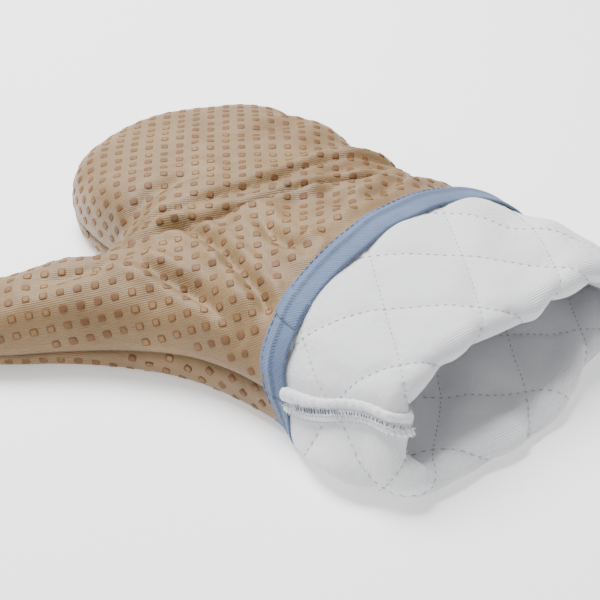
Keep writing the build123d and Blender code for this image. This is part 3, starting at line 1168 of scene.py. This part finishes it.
def add_stitch(verts: list, faces: list, start: np.ndarray, end: np.ndarray, radius: float) -> None:
    """Add one rounded stitch to a list of points and faces.

    Args:
        verts: The points, which grow.
        faces: The faces, which grow.
        start: Where the stitch starts.
        end: Where it ends.
        radius: Half its thickness at its middle.
    """
    path = start + (end - start) * np.array([0.0, 0.18, 0.5, 0.82, 1.0])[:, None]
    add_tube(verts, faces, path, radius * np.array([0.35, 0.9, 1.0, 0.9, 0.35]), 6, (0.31, 0.27, 0.91))


@dataclass
class Binding:
    """Blue twill bias tape round the cuff, folded along its middle, with its topstitch and lap."""

    cuff: Cuff
    shell_side: float = 8.2
    lining_side: float = 8.6
    pitch: float = 3.6
    stitch: float = 2.5
    stitch_shift: float = 6.5
    stitch_height: float = 1.3
    lap_start: float = 29.0
    lap_end: float = 43.0
    lap_lift: float = 0.75
    lap_thickness: float = 0.4

    def profile(self) -> list:
        """The tape's section: distance towards the fingers, and height over the cloth."""
        top = [(self.shell_side, -0.2), (self.shell_side - 0.1, 0.9), (self.shell_side - 0.8, 1.35),
               (6.6, 1.15), (5.0, 1.5), (2.8, 1.75), (1.2, 2.2), (0.2, 2.9), (-0.7, 2.7), (-1.3, 1.9),
               (-2.0, 1.6), (-4.0, 1.75), (-6.0, 1.6), (-self.lining_side + 1.2, 1.3),
               (-self.lining_side + 0.2, 1.1), (-self.lining_side, 0.2)]
        return top + [(-4.0, -0.3), (4.0, -0.4)]

    def build(self, cloth: bpy.types.Material, thread: bpy.types.Material) -> None:
        """Make the tape, its lapped end and its stitches.

        Args:
            cloth: The tape's finish.
            thread: The thread's finish.
        """
        profile, columns = self.profile(), self.cuff.columns
        phase = np.random.default_rng(8).uniform(0, math.tau, 5)
        t = np.linspace(0, math.tau, columns, endpoint=False)
        sway = sum(0.22 * np.sin((k * 3 + 2) * t + phase[k]) for k in range(5))
        rings = []
        for shift, height in profile:
            ring = self.cuff.ring(-shift, height)
            ring[:, 1] += sway
            ring[:, 2] = np.maximum(ring[:, 2], 0.15)
            rings.append(ring)
        rows = len(profile)
        uv = np.column_stack([np.tile(t / math.tau * self.cuff.girth, rows),
                              np.repeat([shift for shift, _ in profile], columns)])
        faces = quads(rows, columns, wrap_rows=True, wrap_columns=True, flip=True)
        piece = new_object("twill_binding", np.vstack(rings), faces, cloth, uv)
        ride(piece, "binding_tape", "cuff_binding")
        self.lap(cloth)
        verts, faces = [], []
        for index in range(int(self.cuff.girth / self.pitch)):
            start, end = (self.on_tape(index * self.pitch + step, self.stitch_shift, self.stitch_height)
                          for step in (0, self.stitch))
            if start[2] > 1.5:
                add_stitch(verts, faces, start, end, 0.3)
        ride(new_object("topstitching", np.array(verts), faces, thread), "blue_thread", "binding_topstitch")

    def on_tape(self, u: float, shift: float, height: float) -> np.ndarray:
        """A point on the tape.

        Args:
            u: Distance round the cuff.
            shift: Distance from the tape's middle towards the fingers.
            height: Height over the cloth.

        Returns:
            The point in millimetres.
        """
        ring, columns = self.cuff.ring(-shift, height), self.cuff.columns
        column = (u / self.cuff.girth) * columns % columns
        i = int(column)
        return ring[i] * (1 - (column - i)) + ring[(i + 1) % columns] * (column - i)

    def lap(self, cloth: bpy.types.Material) -> None:
        """The folded end that laps over the tape near the thumb side.

        Args:
            cloth: The tape's finish.
        """
        profile = [(s, h + self.lap_lift) for s, h in self.profile()[:-2]]
        profile[0] = (profile[0][0] + 0.1, -0.1)
        profile[-1] = (profile[-1][0] - 0.1, 0.1)
        stations = np.linspace(self.lap_start, self.lap_end, 12)
        verts, uv = [], []
        for u in stations:
            tuck = 1 - smooth(u, self.lap_start, self.lap_start + 1.2)
            tuck += smooth(u, self.lap_end - 1.5, self.lap_end)
            for shift, height in profile:
                verts.append(self.on_tape(u + 0.25 * shift, shift, height - 0.7 * tuck))
                uv.append((u * 0.98 + 3, shift))
        faces = quads(len(stations), len(profile))
        piece = new_object("binding_lap", np.array(verts), faces, cloth, np.array(uv))
        body = piece.modifiers.new("cloth", "SOLIDIFY")
        body.thickness = self.lap_thickness * MM
        body.offset = -1
        ride(piece, "binding_tape")


@dataclass
class SeamFlap:
    """The overlocked edge of the lining panels, along the thumb side, over the rim and inside."""

    grid: SurfaceGrid
    width: float = 8.4
    start: float = 14.0
    far_start: float = 78.0
    end: float = 150.0
    blue_ends: int = 34
    section: tuple = ((-0.5, 0.0), (-0.49, 1.2), (-0.42, 1.9), (-0.25, 1.7), (-0.08, 1.3), (0.0, 0.9),
                      (0.05, 1.2), (0.13, 1.7), (0.26, 2.0), (0.40, 1.7), (0.5, 0.8), (0.5, 0.1))

    def middle(self, v: float, far_side: bool) -> float:
        """Where the flap's middle lies round the lining.

        Args:
            v: Distance along the lining.
            far_side: Whether it is the flap opposite the thumb.

        Returns:
            Distance round the lining, with the flap's own sway.
        """
        if far_side:
            return self.grid.girth * 0.46 - 2 + self.sway(v)
        return float(smooth(v, 12, 70)) - 1.0 + self.sway(v)

    @staticmethod
    def sway(v: float) -> float:
        """How far the flap wanders to one side."""
        return 0.5 * math.sin(v / 8.0)

    @staticmethod
    def ripple(v: float) -> float:
        """How far the flap's edge waves up and down."""
        return 0.35 * math.sin(v / 5.1) + 0.2 * math.sin(v / 2.3 + 1)

    def build(self, cloth: bpy.types.Material, thread: bpy.types.Material, blue: bpy.types.Material) -> None:
        """Make the flaps on both sides with their bound edges.

        Args:
            cloth: The lining's finish.
            thread: The overlock thread's finish.
            blue: The finish of the binding's thread.
        """
        self.strip("seam_flap_thumb_side", False, self.start, cloth)
        self.strip("seam_flap_far_side", True, self.far_start, cloth)
        verts, faces = [], []
        for far_side, start in ((False, self.start), (True, self.far_start + 2)):
            self.overlock(verts, faces, far_side, start)
        piece = new_object("overlock_stitches", np.array(verts), faces, thread)
        ride(piece, "white_thread", "overlock_thread")
        verts, faces = [], []
        for k in range(self.blue_ends):
            v = 24 + 1.7 * k + 0.4 * math.sin(5 * k)
            middle = self.middle(v, False)
            reach = (2.6 if k < 15 else 1.3) * (0.7 + 0.5 * RNG.random())
            start = self.grid.at(middle - 1.5, v, 2.1)
            end = self.grid.at(middle - 1.2 + 0.8 * reach, v + 0.4, 2.3 + 0.2 * reach)
            add_stitch(verts, faces, start, end, 0.26)
        ride(new_object("blue_thread_ends", np.array(verts), faces, blue), "blue_thread")

    def strip(self, name: str, far_side: bool, start: float, cloth: bpy.types.Material) -> None:
        """One length of flap, raised and a little curled.

        Args:
            name: The piece's name.
            far_side: Whether it is the flap opposite the thumb.
            start: Where it starts along the lining.
            cloth: The lining's finish.
        """
        verts, uv = [], []
        stations = np.arange(start, self.end, 0.8)
        for v in stations:
            plump = 1 + 0.65 * (1 - float(smooth(v, start, start + 34))) + 0.10 * math.sin(v / 0.75)
            for share, height in self.section:
                grow = plump if share > 0.01 else 1.0
                u = self.middle(v, far_side) + share * self.width * (1 + 0.35 * (grow - 1))
                lift = self.ripple(v) + 0.3 if height > 0.5 else -0.3
                verts.append(self.grid.at(u, v, height * grow + lift))
                uv.append((u, v))
        n = len(self.section)
        faces = quads(len(stations), n, flip=True)
        faces += [tuple(range(n)), tuple(len(verts) - n + r for r in reversed(range(n)))]
        piece = new_object(name, np.array(verts), faces, cloth, np.array(uv))
        ride(piece, "lining_cloth", *(() if far_side else ("lining_seam_flap",)))

    def overlock(self, verts: list, faces: list, far_side: bool, start: float) -> None:
        """The looped thread over the flap's free edge and its straight needle thread.

        Args:
            verts: The points, which grow.
            faces: The faces, which grow.
            far_side: Whether it is the flap opposite the thumb.
            start: Where the thread starts along the lining.
        """
        loops, v, out = [], start, True
        while v < self.end - 2:
            u = self.middle(v, far_side) - (0.52 * self.width if out else 0.0)
            loops.append(self.grid.at(u, v, 2.0))
            if out:
                loops.append(self.grid.at(u - 0.1, v + 0.3, 1.0))
            v += 1.05
            out = not out
        add_tube(verts, faces, np.array(loops), 0.27)
        line = []
        for v in np.arange(start, self.end - 2, 1.5):
            zig = 0.35 * (-1) ** len(line)
            u = self.middle(v, far_side) - 0.2 * self.width + zig
            line.append(self.grid.at(u, v, 2.25 + self.ripple(v)))
        add_tube(verts, faces, np.array(line), 0.26)


def sew_side_seam(form: HandForm, points: np.ndarray, thread: bpy.types.Material) -> None:
    """Lay the thread that joins the two panels in the crease under the back panel's edge.

    Args:
        form: The hand's form.
        points: The back panel's points.
        thread: The thread's finish.
    """
    edge = through(np.array(form.seam), 900)
    rim = np.where(form.rise < 1e-6)[0]
    nearest = rim[np.linalg.norm(edge[:, None] - form.plan[rim][None], axis=2).argmin(1)]
    tangent = np.gradient(edge, axis=0)
    inward = unit(np.column_stack([tangent[:, 1], -tangent[:, 0]]), 0.0)
    path = np.column_stack([edge + inward * 1.3, points[nearest, 2] - 0.9])
    path[:, 2] += 0.15 * np.sin(np.arange(len(path)) * 2.1)
    verts, faces = [], []
    add_tube(verts, faces, path[path[:, 1] > 3], 0.55)
    ride(new_object("side_seam_thread", np.array(verts), faces, thread), "tan_thread", "shell_seam_thread")


@dataclass(frozen=True)
class Lamp:
    """A square lamp that faces the mitt."""

    name: str
    place: tuple
    size: float
    power: float


@dataclass
class Stage:
    """A plain pale floor, soft lights and the camera, in metres."""

    floor_half: float = 6.0
    floor_z: float = -0.0004
    floor_glow: float = 0.5
    sky: float = 0.41
    lamps: tuple = (Lamp("overhead", (0.10, 0.55, 1.15), 0.75, 46.0),
                    Lamp("window_side", (-1.1, 0.5, 0.9), 0.8, 3.0),
                    Lamp("front_fill", (-0.5, -1.3, 0.8), 1.2, 1.0))
    turn: float = -48.0
    tilt: float = 36.0
    distance: float = 0.598
    target: tuple = (-0.0304, 0.0388, 0.0184)
    lens: float = 78.0

    @staticmethod
    def aim(name: str, data: bpy.types.ID, place: Vector, heading: Vector) -> bpy.types.Object:
        """Put a lamp or camera at a place.

        Args:
            name: Its name.
            data: The lamp or camera.
            place: Where it stands.
            heading: The way it faces.

        Returns:
            The linked object.
        """
        holder = bpy.data.objects.new(name, data)
        holder.location = place
        holder.rotation_euler = heading.to_track_quat("-Z", "Y").to_euler()
        bpy.context.scene.collection.objects.link(holder)
        return holder

    def build(self) -> None:
        """Make the floor, the lamps, the sky and the camera."""
        h, z = self.floor_half, self.floor_z
        floor = bpy.data.meshes.new("floor")
        floor.from_pydata([(-h, -h, z), (h, -h, z), (h, h, z), (-h, h, z)], [], [(0, 1, 2, 3)])
        material, graph, shader = new_material("pale_floor")
        graph.feed(shader, {"Base Color": (0.94, 0.94, 0.94, 1), "Roughness": 0.9,
                            "Emission Color": (1, 1, 1, 1), "Emission Strength": self.floor_glow})
        floor.materials.append(material)
        ground = bpy.data.objects.new("floor", floor)
        bpy.context.scene.collection.objects.link(ground)
        for lamp in self.lamps:
            light = bpy.data.lights.new(lamp.name, "AREA")
            light.size = lamp.size
            light.energy = lamp.power
            self.aim(lamp.name, light, Vector(lamp.place), -Vector(lamp.place))
        world = bpy.data.worlds.new("studio")
        world.use_nodes = True
        world.node_tree.nodes["Background"].inputs[0].default_value = (1, 1, 1, 1)
        world.node_tree.nodes["Background"].inputs[1].default_value = self.sky
        bpy.context.scene.world = world
        turn, tilt = math.radians(self.turn), math.radians(self.tilt)
        back = Vector((math.sin(turn) * math.cos(tilt), -math.cos(turn) * math.cos(tilt), math.sin(tilt)))
        camera = bpy.data.cameras.new("camera")
        camera.lens = self.lens
        camera.sensor_width = 36.0
        target = Vector(self.target) + Vector((0, BINDING_Y * MM, 0))
        bpy.context.scene.camera = self.aim("camera", camera, target + back * self.distance, -back)


def main() -> None:
    """Build the mitt in order: finishes, shell, lining, binding, flap, and the stage."""
    logging.basicConfig(level=logging.INFO, format="%(name)s %(message)s")
    wear = wear_group()
    shell = ClothFinish("tan_rib_cotton", (0.130, 0.073, 0.026), (0.350, 0.214, 0.090), across=10.0, along=8.0,
                        slant=math.pi / 4, roughness=0.5, sheen=0.25).build(wear)
    white = ClothFinish("white_lining_cotton", (0.83, 0.84, 0.88), (0.97, 0.97, 0.98), across=12.0, along=12.0,
                        roughness=0.85, sheen=0.15, depth=0.00022).build(wear)
    tape = ClothFinish("blue_twill_tape", (0.070, 0.106, 0.190), (0.182, 0.253, 0.415), across=10.0, along=18.0,
                       slant=0.9, roughness=0.8, sheen=0.2, depth=0.00013).build(wear)
    # Painted shade: the quilting thread is grey instead of white, so the stitches read as the shaded holes they
    # sink into.
    quilt_thread_painted_shade = ClothFinish("quilting_thread", (0.33, 0.34, 0.38), (0.55, 0.56, 0.60)).build(wear)
    # Painted shade: the overlock thread is grey instead of white, standing in for the shade along its loops on
    # the white flap.
    white_thread = ClothFinish("white_thread", (0.50, 0.51, 0.55), (0.76, 0.76, 0.80)).build(wear)
    blue_thread = ClothFinish("blue_thread", (0.040, 0.060, 0.120), (0.090, 0.130, 0.240)).build(wear)
    tan_thread = ClothFinish("seam_thread", (0.100, 0.060, 0.034), (0.230, 0.150, 0.092)).build(wear)
    silicone = SiliconeFinish().build(wear)
    form = HandForm()
    form.lay_out()
    panels = ShellPanels(form)
    back = panels.build(Panel.BACK, shell, silicone)
    palm = panels.build(Panel.PALM, shell, silicone)
    spots = np.where(form.mouth)[0]
    order = spots[np.argsort(form.plan[spots, 0])]
    upper = back[order][:, [0, 2]]
    lower = palm[order][:, [0, 2]][::-1]
    sew_side_seam(form, back, tan_thread)
    cuff = Cuff(np.vstack([upper, lower[1:-1]]))
    lining = Lining(cuff)
    lining.build(white, quilt_thread_painted_shade)
    Binding(cuff).build(tape, blue_thread)
    SeamFlap(lining.calm).build(white, white_thread, blue_thread)
    Stage().build()
    bpy.context.view_layer.update()


if __name__ == "__main__":
    main()
